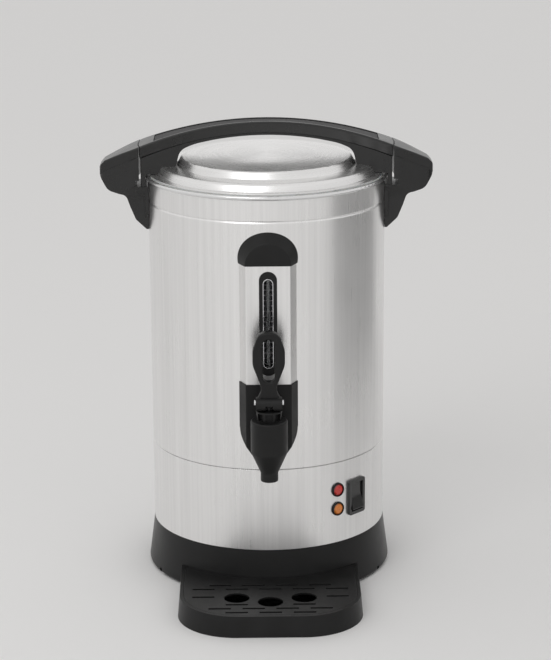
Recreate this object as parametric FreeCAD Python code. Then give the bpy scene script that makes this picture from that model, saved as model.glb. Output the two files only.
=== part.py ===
import FreeCAD, Part
import os
from math import cos, radians, sin, sqrt, tan

# Double-walled coffee urn with a lever tap, a sight gauge and a drip tray.
# Millimetres, +Z up. The origin lies on the urn's vertical axis, on the surface
# that it stands on, and the tap points along -Y.

V = FreeCAD.Vector
ORIGIN = V(0, 0, 0)
X_AXIS = V(1, 0, 0)
Y_AXIS = V(0, 1, 0)
Z_AXIS = V(0, 0, 1)

# Clearances
seat_gap = 0.2
slip_gap = 0.3
pin_gap = 0.05
moulding_gap = 0.4

# Outer casing
body_radius = 112.5
casing_wall = 0.8
foot_stand = 1.2
skirt_height = 45.1
skirt_reach = 118.4
skirt_wall = 2.6
skirt_lip_height = 5.5
skirt_round = 3.0
notch_size = 4.5
notch_angle = 64.0
band_height = 79.5
swage_height = 10.0
seam_gap = 1.0
casing_height = 257.0
groove_drop = 20.3
groove_width = 2.6
groove_depth = 0.6

# Tank
tank_gap = 7.5
tank_wall = 0.8
tank_floor_rise = 3.2
tank_floor_round = 9.0
bead_overhang = 2.8
bead_round = 1.9

# Underside
flange_height = 4.8
flange_thickness = 2.6
flange_width = 19.8
plate_margin = 5.8
plate_thickness = 1.0
vent_count = 16
vent_circle = 66.0
vent_length = 16.0
vent_width = 3.0
foot_inset = 24.0
foot_radius = 9.0
foot_stem_radius = 2.8
foot_count = 4
base_screw_inset = 9.0
base_screw_angles = (60, 120, 240, 300)
base_screw_radius = 1.6
base_boss_radius = 4.2
base_boss_height = 8.0

# Lid
seal_thickness = 1.2
seal_lip_height = 6.5
seal_lip_wall = 1.4
seal_corner = 1.0
seal_inset = 0.3
lid_wall = 0.8
lid_flange_inset = 1.7
lid_foot_gap = 1.2
lid_wall_draft = 3.4
lid_wall_height = 7.6
lid_shoulder_round = 3.6
lid_shoulder_width = 15.8
lid_step_height = 7.0
lid_step_draft = 3.8
lid_crown_rise = 2.6
lid_crown_run = 40.0

# Lid handle arch and side grips
arch_radius = 340.0
arch_rise = 49.0
bar_band = 11.5
bar_draft = 3.3
bar_round = 1.4
bar_waist_half = 13.3
bar_flare_half = 22.0
bar_flare_reach = 125.0
opening_radius = 308.0
opening_drop = 13.0
opening_start = 50.0
opening_bend = 68.0
opening_corner_run = 5.1
opening_corner_drop = 26.3
web_inset = 2.5
web_foot_width = 13.8
web_toe_drop = 11.0
web_end_gap = 1.0
web_lap = 2.0
bead_room = 0.5
handle_seam = 6.0
seam_width = 1.2
grip_pad_half_length = 106.0
grip_pad_inset = 4.0
grip_pad_depth = 1.8
grip_pad_sink = 0.8
lid_screw_radius = 1.7
lid_screw_length = 9.0
lid_screw_pitch = 12.0
nose_reach = 36.9
nose_end_half = 9.9
nose_round = 8.0
leg_half = 11.4
leg_length = 54.0
leg_plate_half = 15.0
leg_plate_thickness = 3.4
lock_recess_depth = 3.8
lock_recess_height = 5.8
side_screw_radius = 1.9
side_screw_heights = (8.0, 20.0)
side_screw_length = 8.0

# Sight gauge
channel_depth = 9.5
channel_half = 26.3
channel_front_half = 20.5
channel_round = 1.2
channel_height = 112.5
cap_rise = 29.0
cap_front_rise = 20.6
cap_wall = 1.6
cap_edge_round = 0.9
mould_proud = 0.6
slot_half = 8.2
slot_top_margin = 5.2
slot_bottom_margin = 8.6
window_half = 4.8
window_end_inset = 6.8
trim_width = 0.6
bezel_lip = 1.6
tube_radius = 2.7
tube_wall = 0.7
tube_seal_wall = 0.6
tube_entry = 8.0

# Tap
tap_height = 38.0
tap_reach = 37.5
mount_rise = 44.5
mount_drop = 24.2
mount_toe_half = 15.4
mount_curve = 22.0
mount_wall = 1.6
tap_body_radius = 17.0
tap_body_rise = 19.4
tap_body_drop = 11.0
funnel_drop = 30.8
nozzle_radius = 8.1
nozzle_length = 8.2
nozzle_bore = 5.5
chamber_radius = 11.0
seat_drop = 16.0
shank_radius = 8.5
shank_bore = 5.5
shank_inside = 13.0
collar_radius = 12.6
neck_radius = 10.2
fitting_radius = 13.2
nut_half = 13.0
nut_thickness = 6.5
gasket_thickness = 1.6
bonnet_height = 9.6
bonnet_foot_radius = 10.4
bonnet_top_radius = 12.2
bonnet_plug_depth = 7.0
bonnet_roof = 2.6
bonnet_slot_count = 8
bonnet_slot_width = 6.6
bonnet_slot_depth = 4.0
stem_radius = 2.5
stem_head_radius = 3.2
stem_head_rise = 3.6
valve_radius = 8.6
valve_height = 5.6
spring_collar_rise = 7.0
spring_radius = 5.6
spring_wall = 1.2
pin_radius = 1.9
pin_head_radius = 2.7
pin_head_width = 1.5
cam_radius = 6.2
cam_reach = 4.6
cam_clearance = 0.3
lever_half = 12.0
lever_length = 67.4
lever_widest = 14.8
lever_widest_rise = 43.5
lever_neck_half = 7.4
lever_neck_rise = 17.0
lever_thickness = 10.0
lever_edge_round = 1.8
loop_half = 6.6
loop_foot_half = 5.0
loop_bottom_rise = 20.6
loop_top_rise = 60.2

# Switch, lamps and inlet on the control band
switch_angle = 47.3
switch_rise = 41.2
switch_half_width = 11.3
switch_half_height = 17.4
switch_proud = 2.2
switch_box_half_width = 9.6
switch_box_half_height = 15.4
switch_box_depth = 20.0
rocker_half_width = 7.8
rocker_half_height = 13.2
rocker_well_depth = 11.0
rocker_rise = 5.2
rocker_dip = 1.6
rocker_tilt = 8.0
lamp_angle = 35.2
lamp_rises = (52.7, 33.7)
lamp_radius = 5.6
lamp_dome = 2.4
lamp_stem_radius = 4.4
lamp_stem_length = 9.0
inlet_rise = 38.0
inlet_half_width = 14.0
inlet_half_height = 25.0
inlet_proud = 2.6
inlet_well_half_width = 8.3
inlet_well_half_height = 12.3
inlet_well_depth = 17.0
inlet_wall = 2.0
blade_thickness = 2.0
blade_width = 4.0
blade_pitch = 14.0
inlet_screw_pitch = 40.0
inlet_screw_radius = 1.6

# Heater and what hangs below the tank floor
heater_radius = 62.0
heater_thickness = 5.0
element_ring = 44.0
element_radius = 4.0
bridge_length = 104.0
bridge_width = 16.0
bridge_thickness = 3.0
tie_radius = 2.5
tie_nut_half = 4.0
tie_nut_height = 3.2
sensor_radius = 8.0
sensor_height = 8.0
sensor_circle = 80.0
block_size = (44.0, 18.0, 14.0)
block_offset = 52.0

# Drip tray
tray_half_width = 86.3
tray_draft = 1.8
tray_height = 20.0
tray_reach = 96.2
tray_corner = 56.0
tray_wall = 2.4
tray_floor = 2.2
tray_gap = 0.4
grille_inset = 3.4
grille_thickness = 2.0
grille_ledge = 3.0
tongue_half = 30.0
tongue_length = 24.0
tongue_thickness = 2.8
drain_radius = 11.8
drain_pitch = 31.2
drain_outer_distance = 167.0
drain_middle_distance = 177.0
slot_length = 20.6
slot_width = 3.2
slot_row_pitch = 9.6
slot_first_row = 202.6
slot_rows = 8
slot_margin = 5.0

# Radii and heights that the sizes above lead to
tank_radius = body_radius - tank_gap
bead_reach = body_radius + bead_overhang
plate_radius = skirt_reach - skirt_wall - plate_margin
flange_bore = skirt_reach - skirt_wall - flange_width
foot_circle = plate_radius - foot_inset
base_screw_circle = plate_radius - base_screw_inset
lid_flange_reach = body_radius - lid_flange_inset
seal_reach = lid_flange_reach - seal_inset
lid_foot_radius = tank_radius - lid_foot_gap
lid_shoulder_radius = lid_foot_radius - lid_wall_draft
lid_step_radius = lid_shoulder_radius - lid_shoulder_width
lid_top_radius = lid_step_radius - lid_step_draft
web_inner_reach = lid_shoulder_radius - web_foot_width
skirt_top = foot_stand + skirt_height
band_top = skirt_top + band_height
casing_foot = band_top + seam_gap
casing_top = casing_foot + casing_height
bead_centre = casing_top + slip_gap + bead_round
rim_top = bead_centre + bead_round - 0.7
tank_floor = casing_foot + tank_floor_rise
tank_underside = tank_floor - tank_wall
plate_top = foot_stand + flange_height - seat_gap
plate_bottom = plate_top - plate_thickness
seal_top = rim_top + seal_thickness
lid_flange_top = seal_top + lid_wall
lid_shoulder = lid_flange_top + lid_wall_height
lid_top = lid_shoulder + lid_step_height + lid_crown_rise
arch_top = lid_flange_top + arch_rise
arch_centre = arch_top - arch_radius
opening_centre = arch_top - opening_drop - opening_radius
seam_radius = bead_reach + handle_seam
handle_end = seam_radius - seam_width / 2
grip_start = seam_radius + seam_width / 2
ledge_height = lid_flange_top - web_toe_drop - slip_gap

# Places on the front of the urn, as distances from the axis
tap_z = tank_floor + tap_height
tap_y = -(body_radius + tap_reach)
channel_front = body_radius + channel_depth
mount_top = tap_z + mount_rise
cap_base = mount_top + channel_height
mount_front = channel_front + mould_proud
mount_inner = mount_front - mount_wall
bonnet_base = tap_z + tap_body_rise + seat_gap
bonnet_top = bonnet_base + bonnet_height
pivot_z = bonnet_top + cam_clearance + cam_radius
seat_z = tap_z - seat_drop
fitting_back = body_radius + gasket_thickness
fitting_front = mount_inner - seat_gap
tube_y = -(fitting_back + fitting_front) / 2


# Outline helpers

def on_xz(point):
    return V(point.x, 0, point.y)


def on_xy(point):
    return V(point.x, point.y, 0)


def on_yz(point):
    return V(0, point.x, point.y)


def rounded_wire(corners, plane, closed=True):
    """A wire through (u, v, radius) corners, with an arc of that radius at each."""
    points = [V(u, v, 0) for u, v, radius in corners]
    last = len(points) - 1
    turns = []
    for i, (u, v, radius) in enumerate(corners):
        point = points[i]
        if radius == 0 or (not closed and i in (0, last)):
            turns.append((point, None, point))
            continue
        back = (points[i - 1] - point).normalize()
        ahead = (points[(i + 1) % len(points)] - point).normalize()
        half = back.getAngle(ahead) / 2
        middle = point + (back + ahead).normalize() * (radius / sin(half) - radius)
        run = radius / tan(half)
        turns.append((point + back * run, middle, point + ahead * run))
    edges = []
    for i, (arrive, middle, leave) in enumerate(turns):
        if middle is not None:
            edges.append(Part.Arc(plane(arrive), plane(middle), plane(leave)).toShape())
        following = turns[(i + 1) % len(turns)][0]
        if (closed or i < last) and leave.distanceToPoint(following) > 1e-6:
            edges.append(Part.LineSegment(plane(leave), plane(following)).toShape())
    return Part.Wire(edges)


def sheet_outline(corners, wall):
    """The closed outline of a sheet that follows the corners, wall thick to their left."""
    points = [V(u, v, 0) for u, v, radius in corners]
    last = len(points) - 1
    inner = []
    for i, (u, v, radius) in enumerate(corners):
        before = points[max(i, 1)] - points[max(i, 1) - 1]
        after = points[min(i, last - 1) + 1] - points[min(i, last - 1)]
        first = V(-before.y, before.x, 0).normalize()
        second = V(-after.y, after.x, 0).normalize()
        moved = points[i] + (first + second) * (wall / (1 + first.dot(second)))
        if radius:
            turns_left = before.cross(after).z > 0
            radius = radius - wall if turns_left else radius + wall
        inner.append((moved.x, moved.y, radius))
    return corners + inner[::-1]


def revolved(corners):
    face = Part.Face(rounded_wire(corners, on_xz))
    return face.revolve(ORIGIN, Z_AXIS, 360)


def prism(corners, plane, start, end):
    """The outline pushed along the axis that its plane leaves out, from start to end."""
    axis = {on_xz: Y_AXIS, on_xy: Z_AXIS, on_yz: X_AXIS}[plane]
    wire = rounded_wire(corners, plane)
    wire.translate(axis * start)
    return Part.Face(wire).extrude(axis * (end - start))


def disc(radius, bottom, top):
    return Part.makeCylinder(radius, top - bottom, V(0, 0, bottom), Z_AXIS)


def tube(outer, inner, bottom, top):
    return disc(outer, bottom, top).cut(disc(inner, bottom - 1, top + 1))


def rod_y(radius, start, end, x=0.0, z=0.0):
    return Part.makeCylinder(radius, end - start, V(x, start, z), Y_AXIS)


def rod_x(radius, half, y, z):
    return Part.makeCylinder(radius, 2 * half, V(-half, y, z), X_AXIS)


def slab(x0, x1, y0, y1, z0, z1):
    return Part.makeBox(x1 - x0, y1 - y0, z1 - z0, V(x0, y0, z0))


def turned(shape, angle):
    """A copy turned about the urn's axis, from the front towards +X."""
    copy = shape.copy()
    copy.rotate(ORIGIN, Z_AXIS, angle)
    return copy


def mirrored(shape):
    return shape.mirror(ORIGIN, X_AXIS)


def box_outline(half_width, low, high, radius):
    return [(-half_width, low, radius), (half_width, low, radius),
            (half_width, high, radius), (-half_width, high, radius)]


def stadium(half, low, high):
    return box_outline(half, low, high, half * 0.999)


def hexagon_y(half_flats, start, end, z):
    reach = half_flats / cos(radians(30))
    corners = [(reach * cos(radians(60 * k)), z + reach * sin(radians(60 * k)), 0) for k in range(6)]
    return prism(corners, on_xz, start, end)


def hexagon_z(half_flats, bottom, top):
    reach = half_flats / cos(radians(30))
    corners = [(reach * cos(radians(60 * k)), reach * sin(radians(60 * k)), 0) for k in range(6)]
    return prism(corners, on_xy, bottom, top)


def save(name, *solids):
    shape = solids[0] if len(solids) == 1 else Part.makeCompound(list(solids))
    if len(shape.Solids) == 1:
        shape = shape.Solids[0]
    shape.exportStep(os.path.join("parts", name + ".step"))
    print(name, len(shape.Solids), "valid" if shape.isValid() else "INVALID", round(shape.Volume, 1))


# Casing

def base_skirt():
    """The moulded foot ring, with its inner flange, screw bosses and tray opening."""
    slope = (skirt_reach - body_radius) / skirt_height
    flange_low = foot_stand + flange_height
    flange_high = flange_low + flange_thickness
    lip_outer = body_radius - casing_wall - seat_gap
    lip_inner = lip_outer - skirt_wall
    shelf = skirt_top - 2 * skirt_wall
    inner_at = lambda z: body_radius + slope * (skirt_top - z) - skirt_wall
    skirt = revolved([
        (body_radius, skirt_top, 0),
        (skirt_reach, foot_stand, skirt_round),
        (skirt_reach - skirt_wall - skirt_round, foot_stand, 0),
        (inner_at(flange_low), flange_low, 0),
        (flange_bore, flange_low, 0),
        (flange_bore, flange_high, 0),
        (inner_at(flange_high), flange_high, 0),
        (lip_inner, shelf, 0),
        (lip_inner, skirt_top + skirt_lip_height, 0),
        (lip_outer, skirt_top + skirt_lip_height, 0),
        (lip_outer, skirt_top, 0),
    ])
    boss_top = flange_high + base_boss_height
    boss = disc(base_boss_radius, flange_low, boss_top)
    hole = disc(base_screw_radius + pin_gap, flange_low - 1, boss_top + 1)
    for angle in base_screw_angles:
        place = turned(Part.Vertex(0, -base_screw_circle, 0), angle).Point
        skirt = skirt.fuse(boss.translated(place))
        skirt = skirt.cut(hole.translated(place))
    notch = slab(-notch_size / 2, notch_size / 2, -skirt_reach - 1, -skirt_reach + 2 * skirt_wall,
                 0, foot_stand + notch_size)
    for angle in (-notch_angle, notch_angle):
        skirt = skirt.cut(turned(notch, angle))
    mouth_half = tongue_half + slip_gap
    mouth = slab(-mouth_half, mouth_half, -skirt_reach - 1, -flange_bore, 0, plate_bottom)
    return skirt.cut(mouth)


def base_plate():
    plate = disc(plate_radius, plate_bottom, plate_top)
    vent = slab(-vent_width / 2, vent_width / 2, -vent_circle - vent_length / 2,
                -vent_circle + vent_length / 2, plate_bottom - 1, plate_top + 1)
    for k in range(vent_count):
        plate = plate.cut(turned(vent, 360 / vent_count * (k + 0.5)))
    screw_hole = disc(base_screw_radius + slip_gap, plate_bottom - 1, plate_top + 1)
    for angle in base_screw_angles:
        plate = plate.cut(turned(screw_hole.translated(V(0, -base_screw_circle, 0)), angle))
    foot_hole = disc(foot_stem_radius + pin_gap, plate_bottom - 1, plate_top + 1)
    for k in range(foot_count):
        plate = plate.cut(turned(foot_hole.translated(V(0, -foot_circle, 0)), foot_angle(k)))
    return plate.cut(disc(tie_radius + slip_gap, plate_bottom - 1, plate_top + 1))


def foot_angle(k):
    return 360 / foot_count * (k + 0.5)


def base_feet():
    pad = revolved([(0, 0, 0), (foot_radius - 0.8, 0, 0.6), (foot_radius, plate_bottom, 0), (0, plate_bottom, 0)])
    stem = disc(foot_stem_radius, plate_bottom - 0.5, plate_top + 0.5)
    button = disc(foot_stem_radius + 1.4, plate_top, plate_top + 1.6)
    foot = pad.fuse(stem).fuse(button).translated(V(0, -foot_circle, 0))
    return [turned(foot, foot_angle(k)) for k in range(foot_count)]


def base_screws():
    head = disc(2 * base_screw_radius, plate_bottom - 1.8, plate_bottom)
    shank = disc(base_screw_radius, plate_bottom - 0.5, plate_bottom + base_boss_height)
    screw = head.fuse(shank).translated(V(0, -base_screw_circle, 0))
    return [turned(screw, angle) for angle in base_screw_angles]


def lower_shell():
    """The control band, swaged in at its top to carry the main casing."""
    inset = casing_wall + seat_gap
    shell = revolved(sheet_outline([
        (body_radius, skirt_top, 0),
        (body_radius, band_top, 0),
        (body_radius - inset, band_top + inset / 2, 0),
        (body_radius - inset, band_top + swage_height, 0),
    ], casing_wall))
    shell = shell.cut(turned(switch_box(slip_gap), switch_angle))
    for rise in lamp_rises:
        hole = rod_y(lamp_stem_radius + slip_gap, -body_radius - 5, -body_radius + 10, 0, skirt_top + rise)
        shell = shell.cut(turned(hole, lamp_angle))
    shell = shell.cut(turned(inlet_box(slip_gap), 180))
    for z in inlet_screw_heights():
        hole = rod_y(inlet_screw_radius + pin_gap, -body_radius - 5, -body_radius + 5, 0, z)
        shell = shell.cut(turned(hole, 180))
    return shell


def main_shell():
    groove = casing_top - groove_drop
    shell = revolved(sheet_outline([
        (body_radius, casing_foot, 0),
        (body_radius, groove - groove_width / 2, 0),
        (body_radius - groove_depth, groove, 0),
        (body_radius, groove + groove_width / 2, 0),
        (body_radius, casing_top, 0),
    ], casing_wall))
    shell = shell.cut(rod_y(shank_radius + slip_gap, -body_radius - 5, -body_radius + 5, 0, tap_z))
    for rise in side_screw_heights:
        z = leg_tip() + rise
        hole = rod_y(side_screw_radius + slip_gap, -body_radius - 5, -body_radius + 5, 0, z)
        shell = shell.cut(turned(hole, 90)).cut(turned(hole, -90))
    return shell


def inner_tank():
    """The welded tank, whose flared rim and rolled bead cap the casing's top edge."""
    wall = revolved(sheet_outline([
        (0, tank_floor, 0),
        (tank_radius, tank_floor, tank_floor_round),
        (tank_radius, rim_top, 2.0),
        (bead_reach - bead_round, rim_top, 0),
    ], -tank_wall))
    bead = Part.makeTorus(bead_reach - bead_round, bead_round, V(0, 0, bead_centre), Z_AXIS)
    tank = wall.fuse(bead)
    return tank.cut(rod_y(shank_radius + pin_gap, -tank_radius - 5, -tank_radius + 5, 0, tap_z))


# Lid

def lid_path():
    return [
        (lid_flange_reach, lid_flange_top, 0),
        (lid_foot_radius, lid_flange_top, 1.0),
        (lid_shoulder_radius, lid_shoulder - 0.6, lid_shoulder_round),
        (lid_step_radius, lid_shoulder, 1.4),
        (lid_top_radius, lid_top - lid_crown_rise, 2.4),
        (lid_crown_run, lid_top, 14 * lid_crown_run),
        (0, lid_top, 0),
    ]


def lid_shell():
    lid = revolved(sheet_outline(lid_path(), lid_wall))
    for x, y in lid_screw_places():
        hole = disc(lid_screw_radius + slip_gap, lid_shoulder - 5, lid_shoulder + 5)
        lid = lid.cut(hole.translated(V(x, y, 0)))
    return lid


def lid_seal():
    lip_outer = tank_radius - slip_gap
    return revolved([
        (lip_outer - seal_lip_wall, rim_top - seal_lip_height, 0),
        (lip_outer, rim_top - seal_lip_height, 0),
        (lip_outer, rim_top - seal_corner, 0),
        (lip_outer + seal_corner, rim_top, 0),
        (seal_reach, rim_top, 0),
        (seal_reach, seal_top, 0),
        (lip_outer - seal_lip_wall, seal_top, 0),
    ])


def lid_clearance():
    """The space of the lid, the seal and the rolled bead below the handle's feet."""
    path = lid_path()
    lid = revolved(path + [(0, ledge_height - 20, 0), (lid_flange_reach, ledge_height - 20, 0)])
    return lid.fuse(disc(bead_reach + bead_room, ledge_height - 20, lid_flange_top + slip_gap))


def bar_top(x):
    return arch_centre + sqrt(arch_radius ** 2 - x ** 2)


def opening_top(x):
    return opening_centre + sqrt(opening_radius ** 2 - x ** 2)


def bar_half(x):
    """Half the bar's width: a waist over the lid, a flare to the seams, then the nose's taper."""
    rise = bar_flare_half - bar_waist_half
    curve = (bar_flare_reach ** 2 + rise ** 2) / (2 * rise)
    nose_end = seam_radius + nose_reach
    taper = (bar_flare_half - nose_end_half) / (nose_end - bar_flare_reach)
    if abs(x) <= bar_flare_reach:
        return bar_waist_half + curve - sqrt(curve ** 2 - x ** 2)
    return bar_flare_half - taper * (abs(x) - bar_flare_reach)


def bar_section(x):
    """The bar's outline across its length: drafted sides and rounded upper edges."""
    low = bar_top(x) - bar_band
    half = bar_half(x)
    corners = [(-half + bar_draft, low, 0), (half - bar_draft, low, 0),
               (half, bar_top(x), bar_round), (-half, bar_top(x), bar_round)]
    wire = rounded_wire(corners, on_yz)
    wire.translate(V(x, 0, 0))
    return wire


def bar_stretch(places, ruled):
    return Part.makeLoft([bar_section(x) for x in places], True, ruled)


def bar_plan(inset, reach, low, high):
    """The plan of the arch between its two seams, inset from the bar's upper edges."""
    half = bar_half(reach) - inset
    middle = bar_waist_half - inset
    corners = [V(-reach, half, low), V(reach, half, low), V(reach, -half, low), V(-reach, -half, low)]
    edges = [Part.Arc(corners[0], V(0, middle, low), corners[1]).toShape(),
             Part.LineSegment(corners[1], corners[2]).toShape(),
             Part.Arc(corners[2], V(0, -middle, low), corners[3]).toShape(),
             Part.LineSegment(corners[3], corners[0]).toShape()]
    return Part.Face(Part.Wire(edges)).extrude(V(0, 0, high - low))


def arch_drum(radius, centre):
    return Part.makeCylinder(radius, 4 * bar_flare_half, V(0, -2 * bar_flare_half, centre), Y_AXIS)


def lid_handle():
    """The arch over the lid: a bar, and a foot at each end that stands on the shoulder."""
    side = seam_radius + handle_seam
    bar = bar_stretch([side * k / 5 for k in range(-5, 6)], False)
    bar = bar.common(disc(handle_end, ledge_height, arch_top + 5))
    corner = web_inner_reach - opening_corner_run
    foot = prism([
        (opening_start, opening_top(opening_start), 0),
        (opening_bend, opening_top(opening_bend), 60.0),
        (corner, arch_top - opening_corner_drop, 12.0),
        (web_inner_reach, lid_shoulder - 4, 0),
        (web_inner_reach, ledge_height + slip_gap, 0),
        (side, ledge_height + slip_gap, 0),
        (side, arch_top, 0),
        (opening_start, arch_top, 0),
    ], on_xz, -2 * bar_flare_half, 2 * bar_flare_half)
    rib = slab(-opening_start, opening_start, -2 * bar_flare_half, 2 * bar_flare_half,
               opening_top(opening_start) - 5, arch_top)
    web = rib.cut(arch_drum(opening_radius, opening_centre)).fuse(foot).fuse(mirrored(foot))
    web = web.common(bar_plan(web_inset, bar_flare_reach, ledge_height, arch_top))
    web = web.common(arch_drum(arch_radius - bar_band + slip_gap, arch_centre))
    web = web.common(disc(handle_end - web_end_gap, ledge_height, arch_top))
    handle = bar.fuse(web).cut(lid_clearance())
    floor = arch_radius - grip_pad_depth - grip_pad_sink
    recess = bar_plan(grip_pad_inset - slip_gap, grip_pad_half_length + slip_gap, ledge_height, arch_top + 5)
    handle = handle.cut(recess.cut(arch_drum(floor, arch_centre)))
    for x, y in lid_screw_places():
        hole = disc(lid_screw_radius + pin_gap, lid_shoulder - 5, lid_shoulder + lid_screw_length)
        handle = handle.cut(hole.translated(V(x, y, 0)))
    return handle


def lid_grip_pad():
    """The soft pad in the arch's top, which follows the bar's plan."""
    plan = bar_plan(grip_pad_inset, grip_pad_half_length, opening_top(grip_pad_half_length), arch_top + 5)
    floor = arch_radius - grip_pad_depth - grip_pad_sink
    pad = plan.common(arch_drum(arch_radius - grip_pad_sink, arch_centre))
    return pad.cut(arch_drum(floor + pin_gap, arch_centre))


def lid_screw_places():
    x = (web_inner_reach + lid_shoulder_radius) / 2 - 1.2
    return [(side * x, turn * lid_screw_pitch / 2) for side in (-1, 1) for turn in (-1, 1)]


def lid_screws():
    screws = []
    for x, y in lid_screw_places():
        head_top = lid_shoulder - lid_wall - 0.7
        head = disc(3.2, head_top - 1.8, head_top)
        shank = disc(lid_screw_radius, head_top - 0.5, lid_shoulder + lid_screw_length - 1)
        screws.append(head.fuse(shank).translated(V(x, y, 0)))
    return screws


# Side grips

def leg_tip():
    return casing_top - leg_length + 5.5


def side_grip():
    """The fixed grip on the +X side: a nose in line with the arch, and a leg on the casing."""
    tip = leg_tip()
    reach = seam_radius + nose_reach
    outline = [
        (body_radius - 10, tip, 0),
        (body_radius + 2.0, tip, 0.8),
        (body_radius + 12.0, tip + 9.4, 8.0),
        (body_radius + 17.2, tip + 22.0, 12.0),
        (body_radius + 21.0, ledge_height - 9.4, 7.0),
        (reach - 7.6, ledge_height - 5.0, 10.0),
        (reach, ledge_height + 8.0, 8.0),
        (reach, ledge_height + 18.4, 6.0),
        (reach - 6.6, ledge_height + 25.6, 6.0),
        (seam_radius, arch_top, 0),
        (body_radius - 10, arch_top, 0),
    ]
    profile = prism(outline, on_xz, -2 * bar_flare_half, 2 * bar_flare_half)
    turn = bar_flare_reach
    places = [turn - 16 + (reach + 20 - turn) * k / 8 for k in range(9)]
    bar = bar_stretch(places, True).common(profile)
    web_plan = []
    for x, radius in ((turn - 16, 0), (turn, 12.0), (reach, nose_round)):
        web_plan.append((x, bar_half(x) - web_inset, radius))
    web_plan = web_plan + [(x, -half, radius) for x, half, radius in web_plan[::-1]]
    nose_plan = prism(web_plan, on_xy, tip - 5, arch_top)
    wide = bar_flare_half - web_inset
    shoulders = [(-leg_half, tip - 5, 0), (leg_half, tip - 5, 0), (leg_half, ledge_height - 12, 14.0),
                 (wide, ledge_height + 1, 8.0), (wide, arch_top, 0), (-wide, arch_top, 0),
                 (-wide, ledge_height + 1, 8.0), (-leg_half, ledge_height - 12, 14.0)]
    web = profile.common(nose_plan.fuse(slab(0, turn - 15, -wide, wide, tip - 5, arch_top)))
    web = web.common(prism(shoulders, on_yz, 0, reach + 5))
    web = web.common(arch_drum(arch_radius - bar_band + web_lap, arch_centre))
    plate_outline = [
        (-leg_plate_half, ledge_height - 1.2, 0),
        (leg_plate_half, ledge_height - 1.2, 0),
        (leg_plate_half, tip + 17, 6),
        (leg_plate_half - 9, tip + 0.4, 4),
        (-leg_plate_half + 9, tip + 0.4, 4),
        (-leg_plate_half, tip + 17, 6),
    ]
    plate = prism(plate_outline, on_yz, body_radius - 12, body_radius + 12)
    plate = plate.common(disc(body_radius + slip_gap + leg_plate_thickness, tip - 5, ledge_height))
    grip = bar.fuse(web).fuse(plate)
    tongue = [(turn - 16, bar_flare_half + 1, 0), (turn + 4, bar_flare_half + 1, 0),
              (reach, nose_end_half, nose_round)]
    tongue = tongue + [(x, -half, radius) for x, half, radius in tongue[::-1]]
    plan = prism(tongue, on_xy, tip - 5, arch_top).fuse(slab(0, turn - 15, -wide - 5, wide + 5, tip - 5, arch_top))
    grip = grip.common(plan)
    grip = grip.cut(disc(body_radius + seat_gap, tip - 5, ledge_height))
    grip = grip.cut(disc(grip_start, ledge_height, arch_top + 5))
    grip = grip.cut(disc(grip_start + lock_recess_depth, ledge_height, ledge_height + lock_recess_height))
    for rise in side_screw_heights:
        hole = Part.makeCylinder(side_screw_radius + pin_gap, side_screw_length + 1,
                                 V(body_radius - 1, 0, tip + rise), X_AXIS)
        grip = grip.cut(hole)
    return grip


def side_screws():
    screws = []
    for side in (-1, 1):
        for rise in side_screw_heights:
            inner = body_radius - casing_wall - seat_gap
            head = Part.makeCylinder(3.4, 2.0, V(inner - 2.0, 0, leg_tip() + rise), X_AXIS)
            shank = Part.makeCylinder(side_screw_radius, side_screw_length,
                                      V(inner - 0.5, 0, leg_tip() + rise), X_AXIS)
            screw = head.fuse(shank)
            screws.append(screw if side > 0 else mirrored(screw))
    return screws


# Sight gauge

def front_path(front, proud, radius):
    """The plan of the channel's front, as an open path that starts and ends inside the casing."""
    slope = side_slope()
    half_front = channel_front_half + proud
    back = body_radius - 12
    half_back = half_front + slope * (front - back)
    return [(half_back, -back, 0), (half_front, -front, radius), (-half_front, -front, radius), (-half_back, -back, 0)]


def side_slope():
    """How fast the channel's plan widens from its front back to the casing."""
    edge = sqrt(body_radius ** 2 - channel_half ** 2)
    return (channel_half - channel_front_half) / (channel_front - edge)


def gauge_channel():
    path = front_path(channel_front, 0, channel_round)
    channel = prism(sheet_outline(path, -casing_wall), on_xy, mount_top + pin_gap, cap_base - pin_gap)
    channel = channel.cut(disc(body_radius + pin_gap, mount_top - 5, cap_base + 5))
    slot = prism(stadium(slot_half, *slot_span()), on_xz, -channel_front - 5, -channel_front + 5)
    return channel.cut(slot)


def slot_span():
    return mount_top + slot_bottom_margin, cap_base - slot_top_margin


def window_span():
    low, high = slot_span()
    return low + window_end_inset, high - window_end_inset


def gauge_bezel():
    """The black frame that fills the channel's slot, with a lip behind the steel."""
    low, high = slot_span()
    sheet_back = -channel_front + casing_wall
    face = prism(stadium(slot_half - pin_gap, low + pin_gap, high - pin_gap), on_xz,
                 -channel_front - 0.4, sheet_back + 0.3)
    lip = prism(stadium(slot_half + bezel_lip, low - bezel_lip, high + bezel_lip), on_xz,
                sheet_back + pin_gap, sheet_back + 0.9)
    window = prism(stadium(window_half, *window_span()), on_xz, -channel_front - 5, sheet_back + 5)
    return face.fuse(lip).cut(window)


def gauge_trim():
    """The bright line round the window."""
    low, high = window_span()
    outer = prism(stadium(window_half - pin_gap, low + pin_gap, high - pin_gap), on_xz,
                  -channel_front - 0.5, -channel_front + casing_wall + 0.9)
    inner = prism(stadium(window_half - trim_width, low + trim_width, high - trim_width), on_xz,
                  -channel_front - 5, -channel_front + 5)
    return outer.cut(inner)


def gauge_scale():
    """The dark backing strip behind the tube, curved to the casing."""
    low, high = slot_span()
    strip = slab(-window_half - 2, window_half + 2, -body_radius - 3, -body_radius + 6, low, high)
    return strip.common(tube(body_radius + 0.45, body_radius + pin_gap, low - 1, high + 1))


def sight_tube():
    glass = tube(tube_radius, tube_radius - tube_wall, mount_top - tube_entry, cap_base + tube_entry)
    return glass.translated(V(0, tube_y, 0))


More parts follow.
